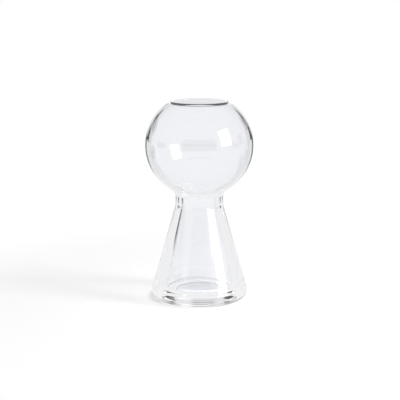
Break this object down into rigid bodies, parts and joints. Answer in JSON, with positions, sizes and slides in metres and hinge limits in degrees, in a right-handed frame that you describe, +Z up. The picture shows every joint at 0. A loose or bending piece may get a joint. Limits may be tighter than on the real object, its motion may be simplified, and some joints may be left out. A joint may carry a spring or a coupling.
{
  "type": "glass bud vase",
  "caption": "Clear glass bud vase: a blown globe with an open mouth and rounded lip, on a short throat, a thick-walled hollow cone and a low foot.",
  "frame": {"origin": "centre of the standing ring, on the surface that the vase stands on", "axes": "+Z up along the axis that the vase is turned about, towards the mouth; X and Y are any two directions across it"},
  "size_m": [0.068, 0.068, 0.1262],
  "materials": {
    "globe_glass": "clear blown glass, fire polished",
    "neck_glass": "clear thick glass, hot joined",
    "cone_glass": "clear thick glass",
    "foot_glass": "clear thick glass"
  },
  "bodies": {
    "root": {"globe": "globe_glass", "neck_ring": "neck_glass", "cone": "cone_glass", "foot_disc": "foot_glass"}
  },
  "joints": []
}
